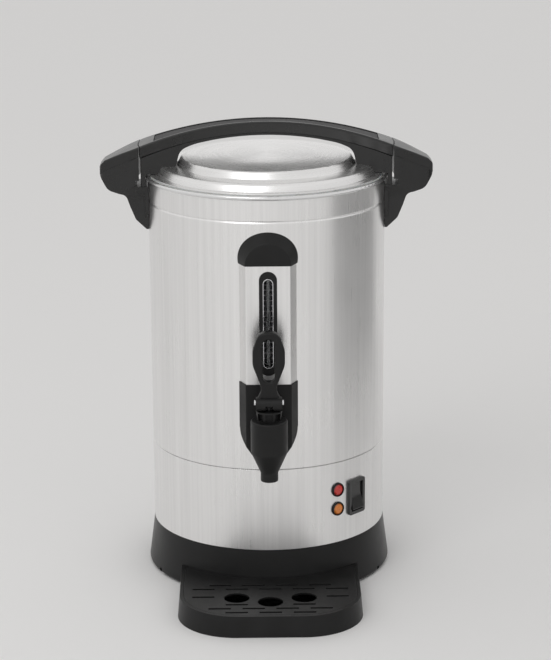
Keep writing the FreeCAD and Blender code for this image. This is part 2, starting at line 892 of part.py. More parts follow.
def tube_seals():
    rings = []
    for bottom in (mount_top - tube_entry - 1.6, cap_base + tube_entry - 3.0):
        outer = tube_radius + tube_seal_wall
        bore = tube_radius + pin_gap if bottom > mount_top else tube_radius - tube_wall
        height = 3.0 if bottom > mount_top else 1.5
        rings.append(tube(outer, bore, bottom, bottom + height).translated(V(0, tube_y, 0)))
    return rings


def cap_solid(inset):
    """The half-dome over the channel's top, from an arch on the casing to a smaller one in front."""
    back = body_radius - 8
    front = channel_front + mould_proud - inset
    slope = side_slope()
    half_front = channel_front_half + mould_proud - inset
    half_back = half_front + slope * (front - back)
    dome_slope = (cap_rise - cap_front_rise) / channel_depth
    rise_front = cap_front_rise - inset
    rise_back = rise_front + dome_slope * (front - back)
    wires = []
    for y, half, rise in ((-back, half_back, rise_back), (-front, half_front, rise_front)):
        left = V(-half, y, cap_base)
        right = V(half, y, cap_base)
        arch = Part.Arc(left, V(0, y, cap_base + rise), right).toShape()
        wires.append(Part.Wire([arch, Part.LineSegment(right, left).toShape()]))
    return Part.makeLoft(wires, True, True)


def front_arch_edges(dome):
    front = -channel_front - mould_proud
    return [edge for edge in dome.Edges
            if abs(edge.BoundBox.YMax - front) < 0.01 and edge.BoundBox.ZLength > cap_front_rise / 2]


def gauge_cap():
    outside = cap_solid(0)
    outside = outside.makeFillet(cap_edge_round, front_arch_edges(outside))
    cap = outside.cut(cap_solid(cap_wall))
    cap = cap.cut(disc(body_radius + pin_gap, cap_base - 5, cap_base + cap_rise + 20))
    return max(cap.Solids, key=lambda solid: solid.Volume)


# Tap

def mount_outline(inset):
    half = channel_half + mould_proud - inset
    low = tap_z - mount_drop + inset
    toe = mount_toe_half - inset
    return [(-half - 12, mount_top, 0), (half + 12, mount_top, 0), (half + 12, tap_z, 0), (half, tap_z, 0),
            (half, low + 17.0, mount_curve), (toe, low, 3.0), (-toe, low, 3.0), (-half, low + 17.0, mount_curve),
            (-half, tap_z, 0), (-half - 12, tap_z, 0)]


def tap_mount():
    """The hollow moulding behind the tap, which goes on from the gauge channel."""
    low = tap_z - mount_drop - 5
    outer = prism(front_path(mount_front, mould_proud, channel_round), on_xy, low, mount_top)
    outer = outer.common(prism(mount_outline(0), on_xz, -mount_front - 5, 0))
    inner = prism(front_path(mount_inner, mould_proud - mount_wall * 0.9, 0.5), on_xy, low, mount_top + 5)
    inner = inner.common(prism(mount_outline(mount_wall), on_xz, -mount_front - 5, 0))
    mount = outer.cut(inner).cut(disc(body_radius + pin_gap, low - 5, mount_top + 5))
    mount = mount.cut(rod_y(shank_radius + slip_gap, -mount_front - 5, -body_radius, 0, tap_z))
    return max(mount.Solids, key=lambda solid: solid.Volume)


def gauge_fitting():
    """The ring on the tap's shank, with the spigot that feeds the sight tube."""
    ring = rod_y(fitting_radius, -fitting_front, -fitting_back, 0, tap_z)
    spigot_radius = (fitting_front - fitting_back) / 2
    bottom = mount_top - tube_entry - 1.6
    spigot = disc(spigot_radius, tap_z + shank_radius + 2, mount_top - 1.5).translated(V(0, tube_y, 0))
    socket = disc(tube_radius + tube_seal_wall + pin_gap, bottom, mount_top + 1).translated(V(0, tube_y, 0))
    feed = disc(tube_radius - tube_wall, tap_z, bottom + 1).translated(V(0, tube_y, 0))
    fitting = ring.fuse(spigot).cut(socket).cut(feed)
    return fitting.cut(rod_y(shank_radius + pin_gap, -fitting_front - 5, -fitting_back + 5, 0, tap_z))


def shank_ring(outer, start, end, inner_face, outer_face):
    """A ring on the shank between two distances, kept between the urn's curved walls."""
    ring = rod_y(outer, -end, -start, 0, tap_z)
    ring = ring.cut(rod_y(shank_radius + pin_gap, -end - 5, -start + 5, 0, tap_z))
    return ring.common(tube(outer_face, inner_face, tap_z - 2 * outer, tap_z + 2 * outer))


def tap_gaskets():
    outside = shank_ring(fitting_radius, body_radius - 3, fitting_back - pin_gap, body_radius + pin_gap,
                         body_radius + 10)
    inside = shank_ring(fitting_radius, tank_radius - 2.4, tank_radius + 1, tank_radius - 8,
                        tank_radius - pin_gap)
    return [outside, inside]


def tap_spacer():
    """The ring that keeps the casing and the tank apart where the nut pulls them together."""
    return shank_ring(fitting_radius - 1, tank_radius, body_radius, tank_radius + tank_wall + pin_gap,
                      body_radius - casing_wall - pin_gap)


def tap_nut():
    end = tank_radius - 2.4 - pin_gap
    nut = hexagon_y(nut_half, -end, -end + nut_thickness, tap_z)
    return nut.cut(rod_y(shank_radius + pin_gap, -end - 5, -end + nut_thickness + 5, 0, tap_z))


def tap_body():
    """The turned valve body, its funnel and spout, and the shank through both walls."""
    bottom = tap_z - funnel_drop
    tip = bottom - nozzle_length
    top = tap_z + tap_body_rise
    body = revolved([
        (0, top, 0),
        (tap_body_radius, top, 1.6),
        (tap_body_radius, tap_z - tap_body_drop, 5.0),
        (nozzle_radius, bottom, 4.0),
        (nozzle_radius, tip, 0.8),
        (0, tip, 0),
    ]).translated(V(0, tap_y, 0))
    collar_face = -mount_front - seat_gap
    neck = rod_y(neck_radius, tap_y, collar_face, 0, tap_z)
    collar = rod_y(collar_radius, collar_face - 3.4, collar_face, 0, tap_z)
    shank = rod_y(shank_radius, tap_y, -tank_radius + shank_inside, 0, tap_z)
    body = body.fuse(neck).fuse(collar).fuse(shank)
    chamber = disc(chamber_radius, seat_z, top + 1).translated(V(0, tap_y, 0))
    outlet = disc(nozzle_bore, tip - 1, seat_z + 1).translated(V(0, tap_y, 0))
    waterway = rod_y(shank_bore, tap_y, -tank_radius + shank_inside + 1, 0, tap_z)
    feed = disc(tube_radius - tube_wall, tap_z, tap_z + shank_radius + 1).translated(V(0, tube_y, 0))
    return body.cut(chamber).cut(outlet).cut(waterway).cut(feed)


def tap_bonnet():
    """The castellated cap of the valve, which guides the stem and backs the spring."""
    plug_radius = chamber_radius - pin_gap
    plug_bottom = bonnet_base - bonnet_plug_depth
    bonnet = revolved([
        (stem_radius + pin_gap, bonnet_top, 0),
        (bonnet_top_radius, bonnet_top, 0.8),
        (bonnet_foot_radius + 0.8, bonnet_base, 0),
        (plug_radius, bonnet_base, 0),
        (plug_radius, plug_bottom, 0),
        (spring_radius + slip_gap, plug_bottom, 0),
        (spring_radius + slip_gap, bonnet_top - bonnet_roof, 0),
        (stem_radius + pin_gap, bonnet_top - bonnet_roof, 0),
    ])
    half = bonnet_slot_width / 2
    slot = slab(-half, half, -bonnet_top_radius - 2, -bonnet_top_radius + bonnet_slot_depth,
                bonnet_base + 0.8, bonnet_top - 1.8)
    for k in range(bonnet_slot_count):
        bonnet = bonnet.cut(turned(slot, 360 / bonnet_slot_count * k))
    return bonnet.translated(V(0, tap_y, 0))


def tap_stem():
    rod = disc(stem_radius, seat_z + 2.0, pivot_z)
    head = disc(stem_head_radius, pivot_z - stem_head_rise, pivot_z + stem_head_rise)
    collar_z = seat_z + valve_height + spring_collar_rise
    collar = disc(spring_radius, collar_z - 1.6, collar_z)
    stem = rod.fuse(head).fuse(collar).translated(V(0, tap_y, 0))
    return stem.cut(rod_x(pin_radius + pin_gap, 10, tap_y, pivot_z))


def tap_valve():
    """The soft cup that closes the seat."""
    cup = revolved([
        (0, seat_z + pin_gap, 0),
        (valve_radius, seat_z + pin_gap, 0.6),
        (valve_radius - 1.6, seat_z + valve_height, 1.0),
        (0, seat_z + valve_height, 0),
    ]).translated(V(0, tap_y, 0))
    pocket = disc(stem_radius + pin_gap, seat_z + 2.0 - pin_gap, seat_z + valve_height + 1)
    return cup.cut(pocket.translated(V(0, tap_y, 0)))


def tap_spring():
    bottom = seat_z + valve_height + spring_collar_rise + pin_gap
    top = bonnet_top - bonnet_roof - pin_gap
    return tube(spring_radius - 0.2, spring_radius - 0.2 - spring_wall, bottom, top).translated(V(0, tap_y, 0))


def tap_pivot_pin():
    grip = lever_half + pin_gap
    pin = rod_x(pin_radius, grip + 0.5, tap_y, pivot_z)
    for side in (-1, 1):
        start = grip if side > 0 else -grip - pin_head_width
        head = Part.makeCylinder(pin_head_radius, pin_head_width, V(start, tap_y, pivot_z), X_AXIS)
        pin = pin.fuse(head)
    return pin


def lever_outline():
    """The front view of the lever, from its flared foot to the top of its loop."""
    top = pivot_z + lever_length
    widest = pivot_z + lever_widest_rise
    neck = pivot_z + lever_neck_rise
    right = [
        (lever_half, pivot_z - 1.0, 0),
        (lever_half, pivot_z + 2.4, 3.0),
        (lever_neck_half, neck - 6.6, 7.0),
        (lever_neck_half, neck, 12.0),
        (lever_widest, widest - 7.0, 20.0),
        (lever_widest, widest + 6.0, 18.0),
        (lever_widest * 0.62, top, 10.0),
    ]
    return right + [(-x, z, radius) for x, z, radius in right[::-1]]


def loop_outline():
    low = pivot_z + loop_bottom_rise
    high = pivot_z + loop_top_rise
    return [(-loop_foot_half, low, loop_foot_half * 0.85), (loop_foot_half, low, loop_foot_half * 0.85),
            (loop_half, high, loop_half * 0.9), (-loop_half, high, loop_half * 0.9)]


def tap_lever():
    """The looped lever: a handle on a cam that lifts the stem as it turns about the pin."""
    half = lever_thickness / 2
    grip = prism(lever_outline(), on_xz, -half, half)
    grip = grip.cut(prism(loop_outline(), on_xz, -half - 1, half + 1))
    grip = grip.makeFillet(lever_edge_round, edges_on_faces(grip, half))
    grip = grip.translated(V(0, tap_y, 0))
    cam = rod_x(cam_radius, lever_half, tap_y - cam_reach, pivot_z)
    hub = rod_x(cam_radius - 0.6, lever_half, tap_y, pivot_z)
    lever = grip.fuse(cam).fuse(hub)
    head_room = stem_head_radius + slip_gap
    head_swing = sqrt(stem_head_radius ** 2 + stem_head_rise ** 2) + slip_gap
    lever = lever.cut(rod_x(head_swing, head_room, tap_y, pivot_z))
    lever = lever.cut(slab(-head_room, head_room, tap_y - stem_head_radius - slip_gap,
                           tap_y + stem_head_radius + slip_gap, pivot_z - 12, pivot_z))
    lever = lever.cut(slab(-head_room, head_room, tap_y - cam_reach - cam_radius - 1, tap_y,
                           pivot_z - 12, pivot_z - 0.5))
    return lever.cut(rod_x(pin_radius + pin_gap, lever_half + 1, tap_y, pivot_z))


def edges_on_faces(shape, half):
    """The edges that lie wholly in the front or the back face, above the cam."""
    chosen = []
    for edge in shape.Edges:
        box = edge.BoundBox
        flat = box.YMax - box.YMin < 1e-6 and abs(abs(box.YMin) - half) < 1e-6
        if flat and box.ZMax > pivot_z + 0.5:
            chosen.append(edge)
    return chosen


# Switch, lamps and inlet, drawn facing -Y and then turned into place

def switch_box(clearance):
    z = skirt_top + switch_rise
    outline = box_outline(switch_box_half_width + clearance, z - switch_box_half_height - clearance,
                          z + switch_box_half_height + clearance, 1.0)
    return prism(outline, on_xz, -body_radius - 1, -body_radius + switch_box_depth)


def switch_frame():
    z = skirt_top + switch_rise
    outline = box_outline(switch_half_width, z - switch_half_height, z + switch_half_height, 2.4)
    frame = prism(outline, on_xz, -body_radius - switch_proud, -body_radius + 3)
    frame = frame.cut(disc(body_radius + pin_gap, 0, band_top))
    frame = frame.fuse(switch_box(0))
    well = box_outline(rocker_half_width + slip_gap, z - rocker_half_height - 0.9,
                       z + rocker_half_height + 0.9, 0.8)
    well_floor = -body_radius - switch_proud + rocker_well_depth
    frame = frame.cut(prism(well, on_xz, -body_radius - 5, well_floor))
    pivot = rod_x(1.2, switch_box_half_width - 0.5, rocker_axis_y(), z)
    return turned(frame.fuse(pivot), switch_angle)


def rocker_axis_y():
    return -body_radius - switch_proud + rocker_rise


def switch_rocker():
    z = skirt_top + switch_rise
    y = rocker_axis_y()
    half = rocker_half_height
    outline = [
        (y - rocker_rise, z + half, 0.8),
        (y - rocker_rise + rocker_dip, z, 30.0),
        (y - rocker_rise, z - half, 0.8),
        (y + 0.6, z - half + 0.6, 0.8),
        (y + 3.6, z - 5.0, 1.0),
        (y + 3.6, z + 5.0, 1.0),
        (y + 0.6, z + half - 0.6, 0.8),
    ]
    rocker = prism(outline, on_yz, -rocker_half_width, rocker_half_width)
    rocker = rocker.cut(rod_x(1.2 + pin_gap, rocker_half_width + 1, y, z))
    rocker.rotate(V(0, y, z), X_AXIS, -rocker_tilt)
    return turned(rocker, switch_angle)


def lamp(rise):
    """An indicator: a domed lens on a stem through the casing."""
    lens = revolved([
        (0, -lamp_stem_length, 0),
        (lamp_stem_radius, -lamp_stem_length, 0.5),
        (lamp_stem_radius, pin_gap, 0),
        (lamp_radius, pin_gap, 0),
        (lamp_radius, 1.0, 0),
        (lamp_radius * 0.62, lamp_dome, 2.0),
        (0, lamp_dome + 0.2, 0),
    ])
    lens.rotate(ORIGIN, X_AXIS, 90)
    lens = lens.translated(V(0, -body_radius, skirt_top + rise))
    return turned(lens, lamp_angle)


def lamp_collars():
    collars = []
    back = body_radius - casing_wall - seat_gap
    for rise in lamp_rises:
        z = skirt_top + rise
        collar = rod_y(lamp_stem_radius + 2.2, -back, -back + 2.2, 0, z)
        collar = collar.cut(rod_y(lamp_stem_radius + pin_gap, -back - 5, -back + 5, 0, z))
        collars.append(turned(collar, lamp_angle))
    return collars


def inlet_centre():
    return skirt_top + inlet_rise


def inlet_screw_heights():
    return [inlet_centre() - inlet_screw_pitch / 2, inlet_centre() + inlet_screw_pitch / 2]


def inlet_box(clearance):
    z = inlet_centre()
    half_width = inlet_well_half_width + inlet_wall + clearance
    half_height = inlet_well_half_height + inlet_wall + clearance
    return prism(box_outline(half_width, z - half_height, z + half_height, 2.0), on_xz,
                 -body_radius - 1, -body_radius + inlet_well_depth + 4)


def mains_inlet():
    """The appliance inlet: a screwed flange round a deep shaped socket."""
    z = inlet_centre()
    flange = prism(box_outline(inlet_half_width, z - inlet_half_height, z + inlet_half_height, 4.0), on_xz,
                   -body_radius - inlet_proud, -body_radius + 3)
    flange = flange.cut(disc(body_radius + pin_gap, 0, casing_top))
    inlet = flange.fuse(inlet_box(0))
    w = inlet_well_half_width
    h = inlet_well_half_height
    well = [(-w, z - h, 1.0), (w - 4.0, z - h, 0), (w, z - h + 4.0, 0), (w, z + h - 4.0, 0),
            (w - 4.0, z + h, 0), (-w, z + h, 1.0)]
    inlet = inlet.cut(prism(well, on_xz, -body_radius - 5, -body_radius - inlet_proud + inlet_well_depth))
    for x, dz in blade_places():
        inlet = inlet.cut(slab(x - blade_thickness / 2 - pin_gap, x + blade_thickness / 2 + pin_gap,
                               -body_radius, -body_radius + inlet_well_depth + 20,
                               z + dz - blade_width / 2 - pin_gap, z + dz + blade_width / 2 + pin_gap))
    for screw_z in inlet_screw_heights():
        inlet = inlet.cut(rod_y(inlet_screw_radius + pin_gap, -body_radius - 5, -body_radius + 5, 0, screw_z))
    return turned(inlet, 180)


def blade_places():
    return [(-1.5, blade_pitch / 2), (-1.5, -blade_pitch / 2), (2.6, 0)]


def inlet_blades():
    z = inlet_centre()
    blades = []
    for x, dz in blade_places():
        blades.append(turned(slab(x - blade_thickness / 2, x + blade_thickness / 2, -body_radius + 0.4,
                                  -body_radius + inlet_well_depth + 12,
                                  z + dz - blade_width / 2, z + dz + blade_width / 2), 180))
    return blades


def inlet_screws():
    screws = []
    for z in inlet_screw_heights():
        face = -body_radius - inlet_proud
        head = rod_y(2.9, face - 1.6, face, 0, z)
        shank = rod_y(inlet_screw_radius, face - 0.5, -body_radius + 6, 0, z)
        screws.append(turned(head.fuse(shank), 180))
    return screws


# Heater and controls below the tank

def heater_plate():
    plate = disc(heater_radius, tank_underside - heater_thickness, tank_underside - pin_gap)
    stud = disc(tie_radius + 1.5, tank_underside - heater_thickness - 4, tank_underside - heater_thickness + 1)
    plate = plate.fuse(stud)
    return plate.cut(disc(tie_radius + pin_gap, tank_underside - heater_thickness - 5, tank_underside - 2))


def heating_element():
    """A sheathed ring with its two cold ends turned down beside each other."""
    z = tank_underside - heater_thickness - element_radius - pin_gap
    ring = Part.makeTorus(element_ring, element_radius, V(0, 0, z), Z_AXIS, 0, 360, 336)
    ring = turned(ring, 12)
    ends = []
    for angle in (12, 348):
        end = disc(element_radius, z - 16, z).translated(turned(Part.Vertex(element_ring, 0, 0), angle).Point)
        ball = Part.makeSphere(element_radius, turned(Part.Vertex(element_ring, 0, z), angle).Point)
        ends.append(end.fuse(ball))
    return ring.fuse(ends[0]).fuse(ends[1])


def bridge_top():
    return tank_underside - heater_thickness - 2 * element_radius - 2 * pin_gap


def heater_bridge():
    bar = slab(-bridge_width / 2, bridge_width / 2, -bridge_length / 2, bridge_length / 2,
               bridge_top() - bridge_thickness, bridge_top())
    return bar.cut(disc(tie_radius + pin_gap, bridge_top() - 10, bridge_top() + 10))


def tie_rod():
    """The long stud that draws the base, the casing and the tank together."""
    return disc(tie_radius, plate_bottom - tie_nut_height, tank_underside - 2.4)


def tie_nuts():
    nuts = []
    for top in (plate_bottom - pin_gap, bridge_top() - bridge_thickness - pin_gap):
        nut = hexagon_z(tie_nut_half, top - tie_nut_height, top)
        nuts.append(nut.cut(disc(tie_radius + pin_gap, top - 10, top + 1)))
    return nuts


def sensor(angle):
    """A disc switch clipped to the tank's floor, with its two tabs."""
    top = tank_underside - pin_gap
    body = disc(sensor_radius, top - sensor_height, top)
    flange = disc(sensor_radius + 2.5, top - 1.2, top)
    tabs = slab(-4.5, -3.7, -3, 3, top - sensor_height - 8, top - sensor_height + 1)
    tabs = tabs.fuse(slab(3.7, 4.5, -3, 3, top - sensor_height - 8, top - sensor_height + 1))
    return turned(body.fuse(flange).fuse(tabs).translated(V(0, -sensor_circle, 0)), angle)


def terminal_block():
    length, width, height = block_size
    bottom = plate_top + pin_gap
    block = slab(-length / 2, length / 2, block_offset - width / 2, block_offset + width / 2, bottom, bottom + height)
    pitch = length / 4
    for k in range(4):
        x = -length / 2 + pitch * (k + 0.5)
        block = block.cut(disc(2.6, bottom + height - 6, bottom + height + 1).translated(V(x, block_offset, 0)))
    return block


# Drip tray

def tray_outline(inset, draft):
    """The tray's plan: straight sides, large front corners and an open back under the urn."""
    half = tray_half_width - inset - draft
    front = -(skirt_reach + tray_reach - inset - draft)
    corner = tray_corner - inset
    return [(half, 0, 0), (half, front, corner), (-half, front, corner), (-half, 0, 0)]


def skirt_clearance(gap, top):
    """The space of the skirt, gap wider all round, from the floor up to a height."""
    slope = (skirt_reach - body_radius) / skirt_height
    return revolved([(0, -1, 0), (skirt_reach + gap + slope, -1, 0),
                     (skirt_reach + gap - slope * top, top, 0), (0, top, 0)])


def tapered(inset, bottom, top, bottom_draft, top_draft):
    wires = []
    for z, draft in ((bottom, bottom_draft), (top, top_draft)):
        wire = rounded_wire(tray_outline(inset, draft), on_xy)
        wire.translate(V(0, 0, z))
        wires.append(wire)
    return Part.makeLoft(wires, True, True)


def drip_tray():
    """The tray: a shallow basin whose back hugs the skirt, and a tongue that goes under it."""
    tray = tapered(0, 0, tray_height, 0, tray_draft)
    tray = tray.cut(skirt_clearance(tray_gap, tray_height + 5))
    basin = prism(tray_outline(tray_wall + grille_ledge, tray_draft), on_xy, tray_floor, tray_height + 1)
    basin = basin.cut(skirt_clearance(tray_gap + tray_wall + grille_ledge, tray_height + 5))
    seat = prism(tray_outline(grille_inset, tray_draft), on_xy, tray_height - grille_thickness - pin_gap, tray_height + 1)
    seat = seat.cut(skirt_clearance(tray_gap + grille_inset, tray_height + 5))
    tray = tray.cut(basin).cut(seat)
    back = -skirt_reach + tongue_length
    tongue = slab(-tongue_half, tongue_half, -skirt_reach - 4, back, foot_stand - 0.4,
                  foot_stand - 0.4 + tongue_thickness)
    return tray.fuse(tongue)


def drip_grille():
    """The lift-out grille: three round drains and staggered rows of slots."""
    low = tray_height - grille_thickness
    gap = slip_gap
    plate = prism(tray_outline(grille_inset + gap, tray_draft), on_xy, low, tray_height)
    plate = plate.cut(skirt_clearance(tray_gap + grille_inset + gap, tray_height + 5))
    drains = [(-drain_pitch, -drain_outer_distance), (0, -drain_middle_distance),
              (drain_pitch, -drain_outer_distance)]
    for x, y in drains:
        plate = plate.cut(disc(drain_radius, low - 1, tray_height + 1).translated(V(x, y, 0)))
    for x, y in slot_places(drains):
        plate = plate.cut(slot_cutter(x, y, low))
    return plate


def slot_cutter(x, y, low):
    half = slot_length / 2
    width = slot_width / 2
    return slab(x - half, x + half, y - width, y + width, low - 1, tray_height + 1)


def slot_places(drains):
    """Staggered rows of slots, left out where they would meet a drain or the rim."""
    places = []
    for row in range(slot_rows):
        y = -slot_first_row + row * slot_row_pitch
        offset = 0.5 * (row % 2)
        for column in range(-3, 4):
            x = (column + offset) * drain_pitch
            near_drain = any(abs(x - dx) < slot_length / 2 + drain_radius * 0.9
                             and abs(y - dy) < drain_radius + slot_width for dx, dy in drains)
            end = abs(x) + slot_length / 2
            inside = end < slot_reach(y)
            behind = sqrt(x * x + y * y) < skirt_reach + grille_inset + slot_width * 2
            if inside and not near_drain and not behind:
                places.append((x, y))
    return places


def slot_reach(y):
    """How far to the side a slot may go at that distance, inside the tray's front corners."""
    half = tray_half_width - tray_draft - grille_inset - slot_margin
    front = skirt_reach + tray_reach - tray_draft - grille_inset
    into_corner = max(0.0, -y - (front - tray_corner))
    return half - tray_corner + sqrt(max(0.0, tray_corner ** 2 - into_corner ** 2))


# Build

def build():
    os.makedirs("parts", exist_ok=True)
    save("base_skirt", base_skirt())
    save("base_plate", base_plate())
    save("base_feet", *base_feet())
    save("base_screws", *base_screws())
    save("lower_shell", lower_shell())
    save("main_shell", main_shell())
    save("inner_tank", inner_tank())
    save("lid_shell", lid_shell())
    save("lid_seal", lid_seal())
    save("lid_handle", lid_handle())
    save("lid_grip_pad", lid_grip_pad())
    save("lid_screws", *lid_screws())
    right_grip = side_grip()
    save("side_grip_right", right_grip)
    save("side_grip_left", mirrored(right_grip))
    save("side_grip_screws", *side_screws())
    save("gauge_channel", gauge_channel())
    save("gauge_cap", gauge_cap())
    save("gauge_bezel", gauge_bezel())
    save("gauge_trim", gauge_trim())
    save("gauge_scale", gauge_scale())
    save("sight_tube", sight_tube())
    save("tube_seals", *tube_seals())
    save("gauge_fitting", gauge_fitting())
    save("tap_mount", tap_mount())
    save("tap_body", tap_body())
    save("tap_bonnet", tap_bonnet())
    save("tap_stem", tap_stem())
    save("tap_valve", tap_valve())
    save("tap_spring", tap_spring())
    save("tap_pivot_pin", tap_pivot_pin())
    save("tap_lever", tap_lever())
    save("tap_gaskets", *tap_gaskets())
    save("tap_spacer", tap_spacer())
    save("tap_nut", tap_nut())
    save("switch_frame", switch_frame())
    save("switch_rocker", switch_rocker())
    save("lamp_red", lamp(lamp_rises[0]))
    save("lamp_amber", lamp(lamp_rises[1]))
    save("lamp_collars", *lamp_collars())
    save("mains_inlet", mains_inlet())
    save("inlet_blades", *inlet_blades())
    save("inlet_screws", *inlet_screws())
    save("heater_plate", heater_plate())
    save("heating_element", heating_element())
    save("heater_bridge", heater_bridge())
    save("tie_rod", tie_rod())
    save("tie_nuts", *tie_nuts())
    save("thermostat", sensor(70))
    save("thermal_cutout", sensor(290))
    save("terminal_block", terminal_block())
    save("drip_tray", drip_tray())
    save("drip_grille", drip_grille())


build()
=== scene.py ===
from math import cos, pi, radians, sin

import bmesh
import bpy
from mathutils import Matrix, Vector


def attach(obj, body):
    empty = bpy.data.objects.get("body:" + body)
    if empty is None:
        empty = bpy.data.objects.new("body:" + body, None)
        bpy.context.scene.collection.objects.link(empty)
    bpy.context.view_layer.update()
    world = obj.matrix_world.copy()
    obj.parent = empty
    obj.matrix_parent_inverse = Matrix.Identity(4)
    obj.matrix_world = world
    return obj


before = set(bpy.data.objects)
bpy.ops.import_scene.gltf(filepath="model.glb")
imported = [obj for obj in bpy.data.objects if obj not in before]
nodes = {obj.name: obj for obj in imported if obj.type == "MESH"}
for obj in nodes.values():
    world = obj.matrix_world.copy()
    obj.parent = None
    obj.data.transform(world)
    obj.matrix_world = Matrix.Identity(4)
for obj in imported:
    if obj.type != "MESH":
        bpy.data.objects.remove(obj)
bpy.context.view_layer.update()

scene = bpy.context.scene
scene.view_settings.view_transform = "Standard"


# Camera

LENS_LENGTH = 128.27
SENSOR_WIDTH = 36.0
SHIFT_X = 0.0119
SHIFT_Y = 0.0362
CLIP_END = 50.0
CAMERA_BACK = 2.1999
CAMERA_HEIGHT = 0.8392
LOOK_DOWN = 16.03
ROLL = radians(-0.41)
ORBIT = radians(-0.35)

camera_data = bpy.data.cameras.new("camera")
camera_data.lens = LENS_LENGTH
camera_data.sensor_width = SENSOR_WIDTH
camera_data.shift_x = SHIFT_X
camera_data.shift_y = SHIFT_Y
camera_data.clip_end = CLIP_END
camera = bpy.data.objects.new("camera", camera_data)
scene.collection.objects.link(camera)
camera.matrix_world = (Matrix.Rotation(ORBIT, 4, "Z")
                       @ Matrix.Translation((0.0, -CAMERA_BACK, CAMERA_HEIGHT))
                       @ Matrix.Rotation(radians(90.0 - LOOK_DOWN), 4, "X")
                       @ Matrix.Rotation(ROLL, 4, "Z"))
scene.camera = camera


# Sizes that the urn's pieces share, in metres

BODY_RADIUS = 0.1125
SKIRT_TOP = 0.0463
LAMP_ANGLE = radians(35.2)
LAMP_HEIGHTS = {"lamp_red": SKIRT_TOP + 0.0527, "lamp_amber": SKIRT_TOP + 0.0337}
LENS_RADIUS = 0.0056
LENS_PROUD = 0.002

# Grain of the materials: how many metres across the coarsest grains are

COARSE_STREAK = 0.0042
FINE_STREAK = 0.0007
CLOUD = 0.05
DRIFT = 0.03
HAZE = 0.002
FILM = 0.004
SPECK = 0.0012
LENS_RING = 0.0011
STREAK_SQUEEZE = 0.012
TURNED_SQUEEZE = 0.02

# Edge radii and bump depths of the metals, in metres

SHEET_EDGE = 0.0004
PLATED_EDGE = 0.0003
BRUSH_DEPTH = 0.00001
LENS_RING_DEPTH = 0.00004
SPECK_DEPTH = 0.00002

# Ticks on the gauge's strip: their pitch, and how far from the middle they begin

TICKS = ((0.010, 0.0016), (0.005, 0.0029))
TICK_HEIGHT = 0.0008
TICK_COLOUR = (0.55, 0.54, 0.56, 1.0)
STRIP_DARK = (0.03, 0.028, 0.035, 1.0)
STRIP_PALE = (0.06, 0.055, 0.065, 1.0)


# Shader helpers

def connect(tree, socket, value):
    if isinstance(value, bpy.types.NodeSocket):
        tree.links.new(value, socket)
    else:
        socket.default_value = value


def add(tree, kind, settings=None, **inputs):
    node = tree.nodes.new("ShaderNode" + kind)
    for key, value in (settings or {}).items():
        setattr(node, key, value)
    for key, value in inputs.items():
        connect(tree, node.inputs[key.replace("_", " ")], value)
    return node


def math_node(tree, operation, first, second=0.0):
    node = tree.nodes.new("ShaderNodeMath")
    node.operation = operation
    connect(tree, node.inputs[0], first)
    connect(tree, node.inputs[1], second)
    return node.outputs[0]


def vector_node(tree, operation, first, second=None):
    node = tree.nodes.new("ShaderNodeVectorMath")
    node.operation = operation
    connect(tree, node.inputs[0], first)
    if second is not None:
        connect(tree, node.inputs[1], second)
    return node.outputs["Value"]


def spread(tree, value, low, high, new_low, new_high):
    node = add(tree, "MapRange", Value=value, From_Min=low, From_Max=high, To_Min=new_low, To_Max=new_high)
    return node.outputs[0]


def noise(tree, vector, size, detail=3.0, rough=0.55):
    """A noise whose coarsest grains are that many metres across."""
    node = add(tree, "TexNoise", Vector=vector, Scale=1.0 / size, Detail=detail, Roughness=rough)
    return node.outputs[0]


def blend_colour(tree, factor, first, second):
    node = tree.nodes.new("ShaderNodeMix")
    node.data_type = "RGBA"
    connect(tree, node.inputs[0], factor)
    connect(tree, node.inputs[6], first)
    connect(tree, node.inputs[7], second)
    return node.outputs[2]


def shade(colour, factor):
    return tuple(channel * factor for channel in colour[:3]) + (1.0,)


def start_material(name, **sockets):
    material = bpy.data.materials.new(name)
    material.use_nodes = True
    tree = material.node_tree
    shader = tree.nodes["Principled BSDF"]
    for key, value in sockets.items():
        shader.inputs[key.replace("_", " ")].default_value = value
    place = tree.nodes.new("ShaderNodeTexCoord").outputs["Object"]
    return material, tree, shader, place


def bump(tree, height, depth, strength=1.0, normal=None):
    node = add(tree, "Bump", Height=height, Distance=depth, Strength=strength)
    if normal is not None:
        connect(tree, node.inputs["Normal"], normal)
    return node.outputs[0]


def soft_normal(tree, radius):
    """A normal that rounds off the edges."""
    return add(tree, "Bevel", {"samples": 6}, Radius=radius).outputs[0]


def edge_mask(tree, soft):
    """A mask that is 1 along the edges that the soft normal rounds off."""
    flat = tree.nodes.new("ShaderNodeNewGeometry").outputs["Normal"]
    return spread(tree, vector_node(tree, "DOT_PRODUCT", soft, flat), 0.995, 0.85, 0.0, 1.0)


def upright(tree, place, squeeze):
    """Coordinates round the urn's axis, squeezed along its height so that grains become streaks."""
    parts = add(tree, "SeparateXYZ", Vector=place)
    angle = math_node(tree, "ARCTAN2", parts.outputs[1], parts.outputs[0])
    arc = math_node(tree, "MULTIPLY", angle, BODY_RADIUS)
    height = math_node(tree, "MULTIPLY", parts.outputs[2], squeeze)
    return add(tree, "CombineXYZ", X=arc, Y=height).outputs[0]


def ringed(tree, place, squeeze):
    """Coordinates out from the urn's axis, for metal that was brushed while it turned."""
    parts = add(tree, "SeparateXYZ", Vector=place)
    flat = add(tree, "CombineXYZ", X=parts.outputs[0], Y=parts.outputs[1]).outputs[0]
    angle = math_node(tree, "ARCTAN2", parts.outputs[1], parts.outputs[0])
    arc = math_node(tree, "MULTIPLY", angle, squeeze * BODY_RADIUS)
    return add(tree, "CombineXYZ", X=vector_node(tree, "LENGTH", flat), Y=arc).outputs[0]


# Materials

